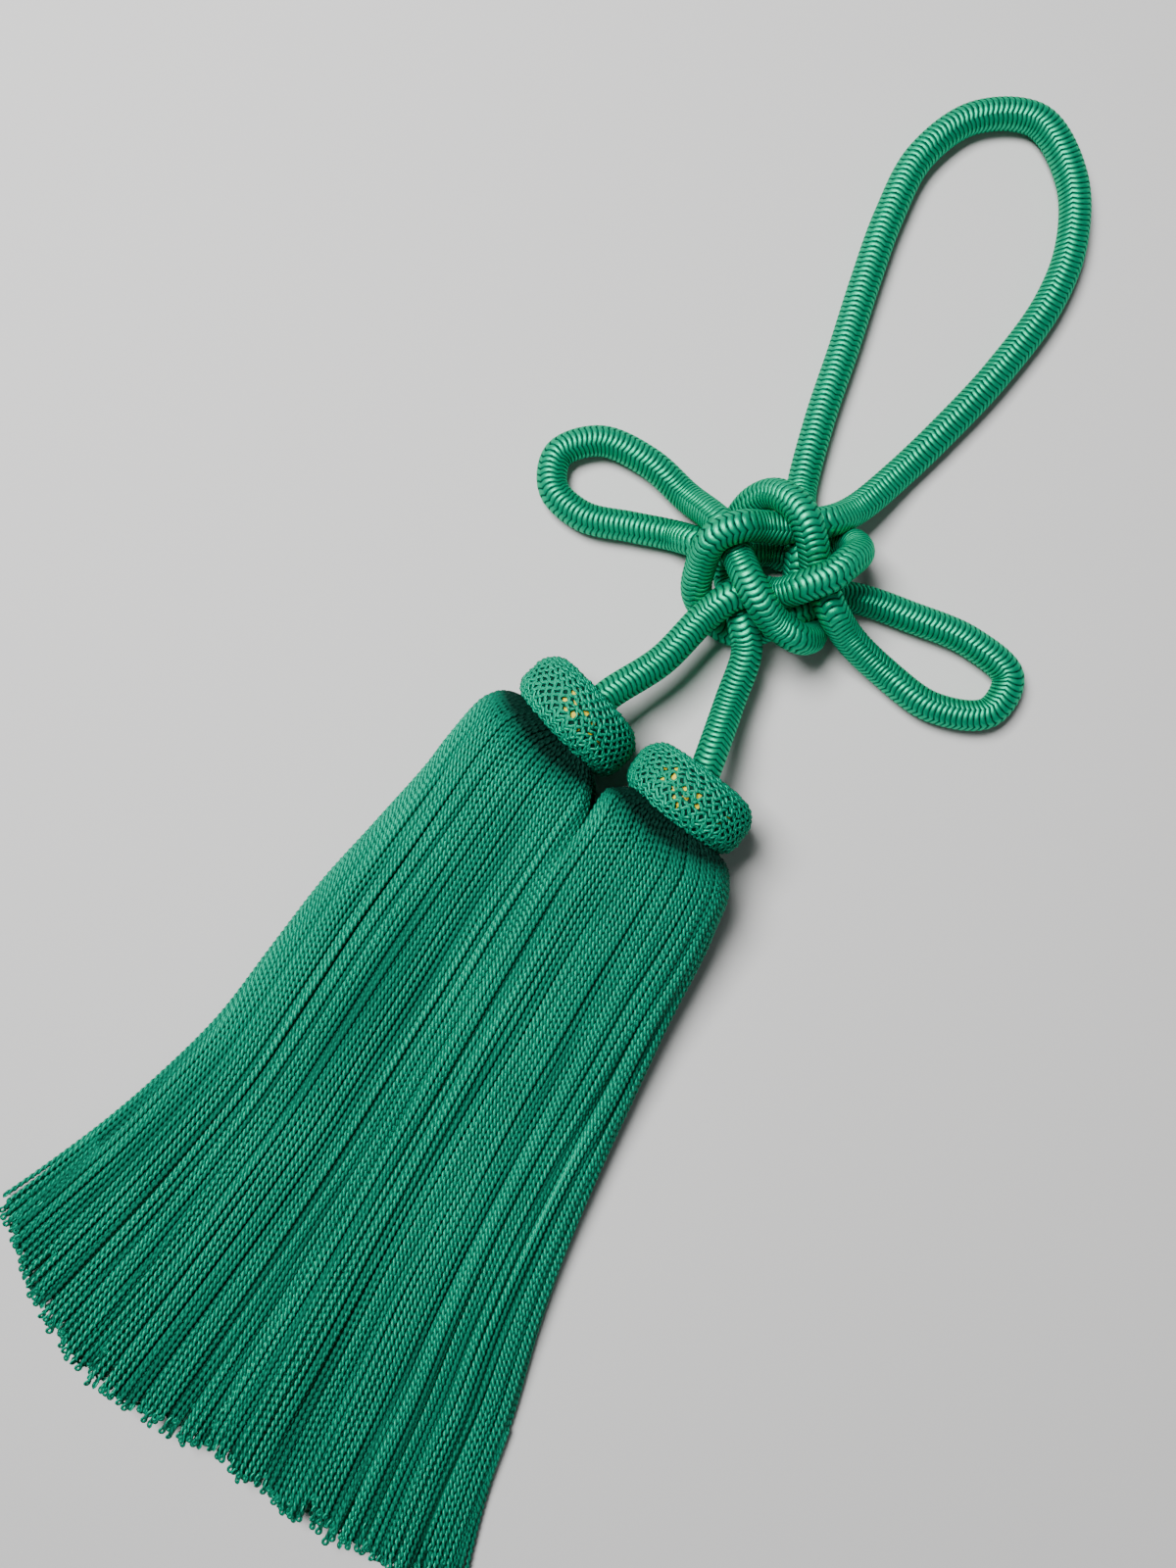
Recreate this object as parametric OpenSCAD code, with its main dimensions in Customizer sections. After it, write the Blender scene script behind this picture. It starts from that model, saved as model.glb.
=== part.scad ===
// Two-headed knotted tassel in emerald green, lying on a floor as it was put down.
// A braided cord makes a hanging loop and two ears that leave one woven knot.
// The cord's two legs run to two flat crocheted heads, each with a full skirt of strands.
// X runs across, Y along the tassel towards the hanging loop, Z up from the floor, in millimetres.

/* [Cord] */
// Radius of the braided cord, taken a little under its soft outside so that crossings stay clear
cord_radius = 2.7; // [2.2:0.1:2.7]
// Sides of the cord's section
cord_sides = 10; // [8:1:12]

/* [Heads] */
// Outside radius of a crocheted head
head_radius = 13.2; // [12.8:0.1:13.2]
// Thickness of a head along the tassel
head_thickness = 12; // [11:0.5:12]
// Rounding of a head's two rims
head_rounding = 4.5; // [3.5:0.1:5]
// Thickness of the crocheted cover
cover_wall = 1; // [0.8:0.1:1.6]
// Clear space all round the bead inside the cover
bead_gap = 0.2; // [0.1:0.1:0.4]
// Radius of the eye that the cord's leg enters
eye_radius = 4.2; // [4:0.1:4.6]

/* [Skirts] */
// Locks of strands across one skirt
lock_count = 10; // [6:1:12]
// How far a lock stands out from the furrow beside it
lock_relief = 0.6; // [0.2:0.1:0.8]
// How far a lock's tip hangs past the furrow beside it
lock_tip = 1.4; // [0.5:0.1:2]
// Squareness of a skirt's section on its outer side, 2 for an ellipse
section_power = 2.4; // [2:0.1:3]
// Squareness on the inner side, where the two skirts lie against each other
inner_power = 4; // [2:0.1:5]

/* [Hidden] */

// Middle of each head and its turn from the Y axis
left_head_middle = [-6.5, 79.5, 13.2];
left_head_turn = -17;
right_head_middle = [20, 76.5, 13.2];
right_head_turn = -8;

// Steps across one lock, and across the top of a skirt
lock_steps = 4;
top_steps = lock_count * lock_steps;
// Share of the points drawn to the skirt's rounded sides
side_share = 0.5;

// The cord's route from the left head, through the knot, ears and hanging loop, to the right head
route = [
  // Left leg
  [-5, 81, 13.2], [-3.5, 86, 13], [2, 97, 11.5],
  // Into the knot, right bar, right curl, back across to the left
  [5, 108.5, 11.5], [7.5, 114, 13], [11, 117.5, 12.5], [15, 119, 13.5], [19, 122, 18.5],
  [22, 125.5, 19.5], [23.5, 129.5, 18], [24.5, 133.5, 13.5], [22.5, 135.5, 8.5], [20, 134, 4.5],
  [15.5, 129.5, 3], [9, 127, 4.5], [4, 123, 8.5], [-3, 121.5, 7.5], [-9, 121, 3.5],
  // Left ear
  [-17, 118.5, 3], [-27, 115.5, 3], [-35, 117.5, 3], [-37.5, 124, 3], [-31.5, 130.5, 3],
  [-20.5, 131.5, 3],
  // Into the knot, lower bar, lower curl, back up across
  [-10.5, 129, 4], [-3.5, 126.5, 10.5], [-0.5, 125, 13.5], [5.5, 120.5, 16], [9, 117.5, 18.5],
  [13, 115, 18.5], [17.5, 113.5, 15.5], [22.5, 113.5, 13], [25, 116.5, 6.5], [22.5, 119, 3],
  [19, 122, 3], [16.5, 126, 7.5], [15, 129, 9.5], [12, 135, 7], [9, 141, 3.5],
  // Hanging loop
  [5, 155.5, 3], [2, 170.5, 3], [-1, 184.5, 3], [-3.5, 198.5, 3], [-4, 212, 3],
  [1.5, 224, 3], [13, 229.5, 3], [24.5, 222.5, 3], [31, 211, 3], [33, 198.5, 3],
  [31, 180.5, 3], [27.5, 165.5, 3], [24, 153.5, 3.5],
  // Into the knot, upper left bar, left curl, back across to the right
  [20, 142, 7.5], [16, 135.5, 13], [12.5, 133, 13.5], [10, 130.5, 14], [6, 128, 16.5],
  [2.5, 125, 20], [-0.5, 121, 19.5], [-0.5, 116.5, 14], [1, 112.5, 9], [4.5, 111, 4],
  [9.5, 110, 3], [14.5, 112, 3.5], [19, 117.5, 8.5], [22, 122, 8], [25.5, 126, 5.5],
  [31.5, 128.5, 3.5],
  // Right ear
  [40, 130, 3], [53, 131.5, 3], [63, 129, 3], [63, 121, 3], [53, 116.5, 3], [40, 118, 3.5],
  // Into the knot, upper bar, upper curl, back down across
  [31.5, 119.5, 7.5], [25.5, 121.5, 13], [21, 125, 13.5], [18.5, 127, 15], [16, 129.5, 18],
  [12.5, 132.5, 19.5], [8.5, 134.5, 18], [4.5, 135, 14], [2, 133, 10], [1, 129.5, 5],
  [2, 124.5, 3], [5, 119, 3], [10, 114, 7.5], [12.5, 111, 9], [15.5, 107, 8.5],
  // Right leg
  [17.5, 97, 8.5], [19.5, 85.5, 12.5], [20.5, 79.5, 13.2],
];

// Columns of a skirt's rows: its two edge points, the heights of its top and underside,
// and how far the middle of the row bows down towards the hem
LEFT = 0;
RIGHT = 1;
TOP = 2;
UNDER = 3;
BOW = 4;

// Rows of each skirt, from its neck under the head to its hem
left_rows = [
  [[-16.5, 75.5, 13], [1, 70, 13], 22, 5, 0],
  [[-21, 77, 12], [3, 69.5, 12], 24, 2, 0],
  [[-23.5, 75.5, 11], [4.5, 67.5, 11], 24.5, 0.5, 0],
  [[-25.5, 72, 10], [4.5, 64, 10], 24, 0, 0],
  [[-27.5, 63.5, 8], [4, 58, 8], 22.5, 0, 0],
  [[-29, 55, 6.5], [3.5, 50, 6.5], 20.5, 0, 0],
  [[-32.5, 40.5, 4.5], [3, 36, 4.5], 17, 0, 1],
  [[-36, 25.5, 3], [3, 20, 3], 14.5, 0, 2],
  [[-38.5, 8.5, 2.5], [2.5, 2, 2.5], 12.5, 0, 3],
  [[-41, -9, 2], [2, -17, 2], 11, 0, 4],
  [[-45.5, -25.5, 2], [1.5, -35, 2], 10, 0, 5],
  [[-50, -39.5, 1.5], [1, -53, 1.5], 9, 0, 6],
  [[-55, -53, 1.5], [0.5, -69, 1.5], 8.5, 0, 7.5],
  [[-60, -65.5, 1.5], [0, -84, 1.5], 7.5, 0, 9],
];
right_rows = [
  [[10, 71, 13], [28, 68.5, 13], 22, 5, 0],
  [[7, 71, 12], [33, 68.5, 12], 24, 2, 0],
  [[5.5, 69, 11], [35, 67, 11], 24.5, 0.5, 0],
  [[5.5, 64, 10], [36.5, 63, 10], 24, 0, 0],
  [[5, 58, 8], [37.5, 57, 8], 22.5, 0, 0],
  [[4.5, 50, 6.5], [38.5, 49.5, 6.5], 20.5, 0, 0],
  [[4, 36, 4.5], [39.5, 36, 4.5], 17, 0, 0.5],
  [[3.5, 20, 3], [41, 21, 3], 14.5, 0, 1],
  [[3, 2.5, 2.5], [42.5, 4.5, 2.5], 12.5, 0, 1.5],
  [[2.5, -16.5, 2], [44.5, -13, 2], 11, 0, 2],
  [[2, -34.5, 2], [47.5, -30.5, 2], 10, 0, 2],
  [[1.5, -52.5, 1.5], [51.5, -47.5, 1.5], 9, 0, 2.5],
  [[1, -68.5, 1.5], [54.5, -65, 1.5], 8.5, 0, 2.5],
  [[0.5, -84, 1.5], [58.5, -83.5, 1.5], 7.5, 0, 3],
];

// Directions along the cord and the sides of its section, carried on without a twist
function unit(v) = v / norm(v);
function ahead(p, i) = unit(p[min(i + 1, len(p) - 1)] - p[max(i - 1, 0)]);
function squared(s, t) = unit(s - (s * t) * t);
function sides_of(p) =
  [for (i = 0, s = squared([1, 0, 0], ahead(p, 0)); i < len(p);
        i = i + 1, s = i < len(p) ? squared(s, ahead(p, i)) : s) s];
function cord_ring(m, t, s, r, n) =
  [for (k = [0 : n - 1]) m + r * (cos(360 * k / n) * s + sin(360 * k / n) * cross(t, s))];

// The tube is one closed skin through the rings, with a flat end at each leg
module cord_tube(p, r, n) {
  s = sides_of(p);
  points = [for (i = [0 : len(p) - 1]) each cord_ring(p[i], ahead(p, i), s[i], r, n)];
  last = (len(p) - 1) * n;
  skin = [for (i = [0 : n : last - n]) for (k = [0 : n - 1]) let (m = (k + 1) % n)
          each [[i + k, i + n + k, i + n + m], [i + k, i + n + m, i + m]]];
  ends = [[for (k = [0 : n - 1]) k], [for (k = [n - 1 : -1 : 0]) last + k]];
  polyhedron(points, concat(skin, ends), 2);
}

// Half section of a flat round body with rounded rims, about its own axis
module puck_half(r, h, c) {
  translate([0, -h / 2]) square([r - c, h]);
  translate([0, -h / 2 + c]) square([r, h - 2 * c]);
  for (side = [-1, 1]) translate([r - c, side * (h / 2 - c)]) circle(c);
}

// A head stands on its rim, so its axis lies along the tassel
module stand_head(middle, turn) {
  translate(middle) rotate([-90, 0, turn]) rotate_extrude() children();
}

module head_cover(middle, turn) {
  color("#0a8a5c") stand_head(middle, turn) difference() {
    puck_half(head_radius, head_thickness, head_rounding);
    puck_half(head_radius - cover_wall, head_thickness - 2 * cover_wall, head_rounding - cover_wall);
    translate([0, -head_thickness]) square([eye_radius, 2 * head_thickness]);
    mirror([1, 0]) translate([0, -head_thickness]) square([head_radius + 1, 2 * head_thickness]);
  }
}

module head_bead(middle, turn) {
  inset = cover_wall + bead_gap;
  color("#e8c33a") stand_head(middle, turn) difference() {
    puck_half(head_radius - inset, head_thickness - 2 * inset, head_rounding - inset);
    translate([0, -head_thickness]) square([eye_radius, 2 * head_thickness]);
    mirror([1, 0]) translate([0, -head_thickness]) square([head_radius + 1, 2 * head_thickness]);
  }
}

// A skirt's section: how far across a point lies, how full the section is there, and its lock.
// inner is 1 where the inner side is the right-hand one, and -1 where it is the left-hand one.
function across(k) = let (even = k / top_steps)
  (1 - side_share) * even + side_share * (1 - cos(180 * even)) / 2;
function power_at(t, inner) = inner * (t - 0.5) > 0 ? inner_power : section_power;
function fullness(t, inner) = let (p = power_at(t, inner))
  pow(max(0, 1 - pow(abs(2 * t - 1), p)), 1 / p);
function lock_wave(k) = cos(360 * (k / lock_steps + 0.5));
function on_row(row, t) =
  row[LEFT] + t * (row[RIGHT] - row[LEFT]) - [0, row[BOW] * (1 - pow(2 * t - 1, 2)), 0];
function tip(k, hem) = [0, hem * lock_tip * (1 + lock_wave(k)) / 2, 0];
function top_point(row, k, relief, hem, inner) = let (t = across(k), rise = row[TOP] - row[LEFT].z)
  on_row(row, t) - tip(k, hem) + [0, 0, (rise + relief * lock_wave(k)) * fullness(t, inner)];
function low_point(row, k, hem, inner) = let (t = across(k), fall = row[LEFT].z - row[UNDER])
  on_row(row, t) - tip(k, hem) - [0, 0, fall * fullness(t, inner)];
function skirt_ring(row, relief, hem, inner) = concat(
  [for (k = [0 : top_steps]) top_point(row, k, relief, hem, inner)],
  [for (k = [top_steps - 1 : -1 : 1]) low_point(row, k, hem, inner)]);

// A skirt is one solid: its locks run from the neck to the hem and are one with their backing
module skirt(rows, inner) {
  n = 2 * top_steps;
  end = len(rows) - 1;
  points = [for (j = [0 : end])
            each skirt_ring(rows[j], lock_relief * min(1, j / 6), j == end ? 1 : 0, inner)];
  skin = [for (j = [0 : n : (end - 1) * n]) for (k = [0 : n - 1]) let (m = (k + 1) % n)
          each [[j + k, j + m, j + n + m], [j + k, j + n + m, j + n + k]]];
  neck = [for (k = [0 : top_steps - 1]) let (low = (n - k) % n, next = n - k - 1)
          each concat(k == 0 ? [] : [[k, low, next]], k == top_steps - 1 ? [] : [[k, next, k + 1]])];
  hem = [for (f = neck) [for (v = [2 : -1 : 0]) end * n + f[v]]];
  color("#078055") polyhedron(points, concat(skin, neck, hem), 2);
}

module knotted_cord() {
  color("#09a06c") cord_tube(route, cord_radius, cord_sides);
}
module left_head_cover() {
  head_cover(left_head_middle, left_head_turn);
}
module left_head_bead() {
  head_bead(left_head_middle, left_head_turn);
}
module right_head_cover() {
  head_cover(right_head_middle, right_head_turn);
}
module right_head_bead() {
  head_bead(right_head_middle, right_head_turn);
}
module left_skirt() {
  skirt(left_rows, 1);
}
module right_skirt() {
  skirt(right_rows, -1);
}

knotted_cord();
left_head_cover();
left_head_bead();
right_head_cover();
right_head_bead();
left_skirt();
right_skirt();
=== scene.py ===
"""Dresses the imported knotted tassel: braided cord, crocheted heads and skirts of twisted strands.

Lengths are in metres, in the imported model's own frame: X across, Y along the tassel towards
its hanging loop, Z up from the floor.  Tables with _MM in their name are in millimetres.
"""
import logging
from abc import ABC, abstractmethod
from dataclasses import dataclass
from enum import Enum
from typing import ClassVar, Sequence

import bpy
import numpy as np
from mathutils import Matrix, Vector


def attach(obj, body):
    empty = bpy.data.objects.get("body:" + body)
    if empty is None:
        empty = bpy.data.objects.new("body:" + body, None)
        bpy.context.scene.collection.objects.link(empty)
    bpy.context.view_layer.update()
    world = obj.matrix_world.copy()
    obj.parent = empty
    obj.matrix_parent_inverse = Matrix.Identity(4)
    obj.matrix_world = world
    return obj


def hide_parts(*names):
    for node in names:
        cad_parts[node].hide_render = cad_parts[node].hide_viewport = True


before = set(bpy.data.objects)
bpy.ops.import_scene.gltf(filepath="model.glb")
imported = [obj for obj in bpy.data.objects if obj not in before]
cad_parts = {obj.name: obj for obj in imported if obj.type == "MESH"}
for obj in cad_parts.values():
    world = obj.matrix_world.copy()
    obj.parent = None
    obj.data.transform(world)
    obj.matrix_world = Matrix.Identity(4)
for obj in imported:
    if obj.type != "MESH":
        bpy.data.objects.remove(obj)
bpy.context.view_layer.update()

MM = 0.001
FULL_TURN = 2 * np.pi
# What each point of a mesh carries for its finish: how bright it is, and how much painted shade it
# gets
MARKS = ("tone", "shade")
LOG = logging.getLogger("tassel")

Array = np.ndarray
Rng = np.random.Generator
Triple = tuple[float, float, float]
Object = bpy.types.Object
Material = bpy.types.Material
NodeTree = bpy.types.NodeTree
Socket = bpy.types.NodeSocket
Sockets = bpy.types.bpy_prop_collection
Inputs = dict[str | int, object]

# The cord's route from the left head, through the knot, ears and hanging loop, to the right head
ROUTE_MM = [
    # Left leg
    (-5, 81, 13.2), (-3.5, 86, 13), (2, 97, 11.5),
    # Into the knot, right bar, right curl, back across to the left
    (5, 108.5, 11.5), (7.5, 114, 13), (11, 117.5, 12.5), (15, 119, 13.5), (19, 122, 18.5),
    (22, 125.5, 19.5), (23.5, 129.5, 18), (24.5, 133.5, 13.5), (22.5, 135.5, 8.5), (20, 134, 4.5),
    (15.5, 129.5, 3), (9, 127, 4.5), (4, 123, 8.5), (-3, 121.5, 7.5), (-9, 121, 3.5),
    # Left ear
    (-17, 118.5, 3), (-27, 115.5, 3), (-35, 117.5, 3), (-37.5, 124, 3), (-31.5, 130.5, 3),
    (-20.5, 131.5, 3),
    # Into the knot, lower bar, lower curl, back up across
    (-10.5, 129, 4), (-3.5, 126.5, 10.5), (-0.5, 125, 13.5), (5.5, 120.5, 16), (9, 117.5, 18.5),
    (13, 115, 18.5), (17.5, 113.5, 15.5), (22.5, 113.5, 13), (25, 116.5, 6.5), (22.5, 119, 3),
    (19, 122, 3), (16.5, 126, 7.5), (15, 129, 9.5), (12, 135, 7), (9, 141, 3.5),
    # Hanging loop
    (5, 155.5, 3), (2, 170.5, 3), (-1, 184.5, 3), (-3.5, 198.5, 3), (-4, 212, 3),
    (1.5, 224, 3), (13, 229.5, 3), (24.5, 222.5, 3), (31, 211, 3), (33, 198.5, 3),
    (31, 180.5, 3), (27.5, 165.5, 3), (24, 153.5, 3.5),
    # Into the knot, upper left bar, left curl, back across to the right
    (20, 142, 7.5), (16, 135.5, 13), (12.5, 133, 13.5), (10, 130.5, 14), (6, 128, 16.5),
    (2.5, 125, 20), (-0.5, 121, 19.5), (-0.5, 116.5, 14), (1, 112.5, 9), (4.5, 111, 4),
    (9.5, 110, 3), (14.5, 112, 3.5), (19, 117.5, 8.5), (22, 122, 8), (25.5, 126, 5.5),
    (31.5, 128.5, 3.5),
    # Right ear
    (40, 130, 3), (53, 131.5, 3), (63, 129, 3), (63, 121, 3), (53, 116.5, 3), (40, 118, 3.5),
    # Into the knot, upper bar, upper curl, back down across
    (31.5, 119.5, 7.5), (25.5, 121.5, 13), (21, 125, 13.5), (18.5, 127, 15), (16, 129.5, 18),
    (12.5, 132.5, 19.5), (8.5, 134.5, 18), (4.5, 135, 14), (2, 133, 10), (1, 129.5, 5),
    (2, 124.5, 3), (5, 119, 3), (10, 114, 7.5), (12.5, 111, 9), (15.5, 107, 8.5),
    # Right leg
    (17.5, 97, 8.5), (19.5, 85.5, 12.5), (20.5, 79.5, 13.2),
]

# Heights of both skirts' rows, from inside the head's neck to the hem: edges, top, underside
HEIGHTS_MM = [
    (13, 20.4, 6), (13, 22.1, 4), (12, 23.3, 2), (11, 24.1, 0.5), (10, 24.3, 0),
    (8, 22.5, 0), (6.5, 20.5, 0), (4.5, 17, 0), (3, 14.5, 0), (2.5, 12.5, 0),
    (2, 11, 0), (2, 10, 0), (1.5, 9, 0), (1.5, 8.5, 0), (1.5, 7.5, 0),
]
# The same rows in plan: left x, left y, right x, right y, bow towards the hem
LEFT_ROWS_MM = [
    (-14.8, 77.6, -0.7, 73.3, 0), (-18.8, 77.6, 2.2, 71.2, 0), (-21.4, 76.9, 3.4, 69.4, 0),
    (-23.4, 75.5, 3.9, 67.1, 0), (-25.5, 72, 4.5, 64, 0), (-27.5, 63.5, 4, 58, 0),
    (-29, 55, 3.5, 50, 0), (-32.5, 40.5, 3, 36, 1), (-36, 25.5, 3, 20, 2),
    (-38.5, 8.5, 2.5, 2, 3), (-41, -9, 2, -17, 4), (-45.5, -25.5, 1.5, -35, 5),
    (-50, -39.5, 1, -53, 6), (-55, -53, 0.5, -69, 7.5), (-60, -65.5, 0, -84, 9),
]
RIGHT_ROWS_MM = [
    (12.1, 73.4, 26.7, 71.3, 0), (8.8, 72.8, 31.2, 69.7, 0), (6.6, 71.5, 33.1, 68.7, 0),
    (5.3, 69.7, 34.6, 66.9, 0), (5.5, 64, 36.5, 63, 0), (5, 58, 37.5, 57, 0),
    (4.5, 50, 38.5, 49.5, 0), (4, 36, 39.5, 36, 0.5), (3.5, 20, 41, 21, 1),
    (3, 2.5, 42.5, 4.5, 1.5), (2.5, -16.5, 44.5, -13, 2), (2, -34.5, 47.5, -30.5, 2),
    (1.5, -52.5, 51.5, -47.5, 2.5), (1, -68.5, 54.5, -65, 2.5), (0.5, -84, 58.5, -83.5, 3),
]


# Curves and tubes, as whole arrays


def unit(v: Array) -> Array:
    """Vectors divided by their own length, along the last axis."""
    return v / np.maximum(np.linalg.norm(v, axis=-1, keepdims=True), 1e-12)


def through(knots: Array, at: Array, pace: float = 0.0) -> Array:
    """Smooth values through knots, by repeated mixing of neighbours.

    A knot's time is the sum of the gaps before it, each the distance between its knots raised
    to the pace.  Of four knots in a row, the pairs are mixed in proportion to time, then those
    three values, then those two.  The row is carried on by its last step at each end.

    Args:
        knots: values at the whole numbers 0, 1, 2 and on, shape (n, d).
        at: where the values are asked for, from 0 to n-1, shape (m,).
        pace: 0 for equal times, 0.5 where knots stand at uneven distances.

    Returns:
        The values, shape (m, d).
    """
    k = np.concatenate([2 * knots[:1] - knots[1:2], knots, 2 * knots[-1:] - knots[-2:-1]])
    times = np.concatenate([[0.0], np.cumsum(np.linalg.norm(np.diff(k, axis=0), axis=1) ** pace)])
    i = np.clip(np.floor(at).astype(int), 0, len(knots) - 2)
    near = [times[i + step][:, None] for step in range(4)]
    values = [k[i + step] for step in range(4)]
    t = near[1] + (at - i)[:, None] * (near[2] - near[1])
    for spans in (((0, 1), (1, 2), (2, 3)), ((0, 2), (1, 3)), ((1, 2),)):
        values = [
            (a * (near[stop] - t) + b * (t - near[start])) / (near[stop] - near[start])
            for a, b, (start, stop) in zip(values, values[1:], spans)
        ]
    return values[0]


def along(path: Array) -> Array:
    """Length from the start of each path to each of its points.

    Args:
        path: points, shape (..., n, d).

    Returns:
        The running sum of the steps' lengths, shape (..., n).
    """
    steps = np.linalg.norm(np.diff(path, axis=-2), axis=-1)
    return np.concatenate([np.zeros(steps.shape[:-1] + (1,)), np.cumsum(steps, axis=-1)], axis=-1)


def read_off(want: Array, run: Array, columns: Array) -> Array:
    """Each column's value at the wanted lengths, in proportion between those of the run."""
    return np.stack([np.interp(want, run, column) for column in columns.T], axis=-1)


def evenly(path: Array, count: int) -> Array:
    """One path with count points at equal steps of length."""
    run = along(path)
    return read_off(np.linspace(0, run[-1], count), run, path)


def square_frame(path: Array, up: Array, closed: bool = False) -> tuple[Array, Array]:
    """Side and rise across a path, square to it, with the rise as near to up as it can be.

    The side is the unit of (tangent x up), and the rise is (side x tangent).

    Args:
        path: points, shape (..., n, 3).
        up: directions that match the path's shape.
        closed: whether the last point is followed by the first.

    Returns:
        The side and the rise, each with the path's shape.
    """
    if closed:
        tangent = unit(np.roll(path, -1, axis=-2) - np.roll(path, 1, axis=-2))
    else:
        tangent = unit(np.gradient(path, axis=-2))
    side = unit(np.cross(tangent, up))
    return side, np.cross(side, tangent)


def untwisted_frame(path: Array) -> tuple[Array, Array]:
    """Side and rise along one path that turn with it and never spin about it.

    The frame that leans on the vertical is turned back, at each ring, by the sum of the small
    angles through which its side has spun since the start.

    Args:
        path: points, shape (n, 3).

    Returns:
        The side and the rise at each point.
    """
    side, rise = square_frame(path, np.broadcast_to([0.0, 0.0, 1.0], path.shape))
    spun_up = np.sum(side[1:] * rise[:-1], axis=1)
    spun_along = np.sum(side[1:] * side[:-1], axis=1)
    turn = -np.concatenate([[0.0], np.cumsum(np.arctan2(spun_up, spun_along))])[:, None]
    return (
        np.cos(turn) * side + np.sin(turn) * rise,
        np.cos(turn) * rise - np.sin(turn) * side,
    )


def tube_uv(run: Array, sides: int, spin: Array | float = 0.0) -> Array:
    """Surface places of tubes: the length along, and the share of the way round.

    Args:
        run: length at each ring, shape (tubes, n).
        sides: points in a ring.
        spin: turns to add at each ring, fitting (tubes, n).

    Returns:
        Places, shape (tubes, n, sides + 1, 2).
    """
    share = np.arange(sides + 1) / sides
    across = share + (np.zeros_like(run) + spin)[..., None]
    return np.stack([np.broadcast_to(run[..., None], across.shape), across], axis=-1)


def tubes_around(
    path: Array, across: tuple[Array, Array], radius: Array, angle: Array
) -> Array:
    """Rings of points around paths: centre + radius * (side * cos(angle) + rise * sin(angle)).

    Args:
        path: centres, shape (..., n, 3).
        across: the side and the rise, each with the path's shape.
        radius: distance from the centre, fitting (..., n, sides).
        angle: place round the ring in radians, fitting the same.

    Returns:
        The points, shape (..., n, sides, 3).
    """
    side, rise = (direction[..., None, :] for direction in across)
    wide = (radius * np.cos(angle))[..., None]
    high = (radius * np.sin(angle))[..., None]
    return path[..., None, :] + wide * side + high * rise


def smooth_noise(rng: Rng, x: Array, y: Array) -> Array:
    """A gentle random surface of about -1 to 1: five plane waves, added up and scaled.

    Each wave is sin(a*x + b*y + c) with a and b drawn from about -1 to 1 and c from a full turn.

    Args:
        rng: source of the waves.
        x: first place of each point.
        y: second place of each point.

    Returns:
        The surface's height at each point.
    """
    waves = 5
    a, b = rng.normal(0, 1, (2, waves))
    c = rng.uniform(0, FULL_TURN, waves)
    return sum(np.sin(p * x + q * y + r) for p, q, r in zip(a, b, c)) / np.sqrt(waves / 2) * 0.7


def cell_corners(grids: Array) -> Array:
    """What stands at the four corners of each cell of grids, in order round the cell."""
    starts, stops = grids[:, :-1], grids[:, 1:]
    return np.stack([starts[:, :, :-1], stops[:, :, :-1], stops[:, :, 1:], starts[:, :, 1:]], axis=3)


def place_object(name: str, data: bpy.types.ID) -> Object:
    """Puts a new object with that data into the scene, at the origin.

    Args:
        name: the object's name.
        data: its mesh, camera or light.

    Returns:
        The object.
    """
    thing = bpy.data.objects.new(name, data)
    bpy.context.scene.collection.objects.link(thing)
    return thing


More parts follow.
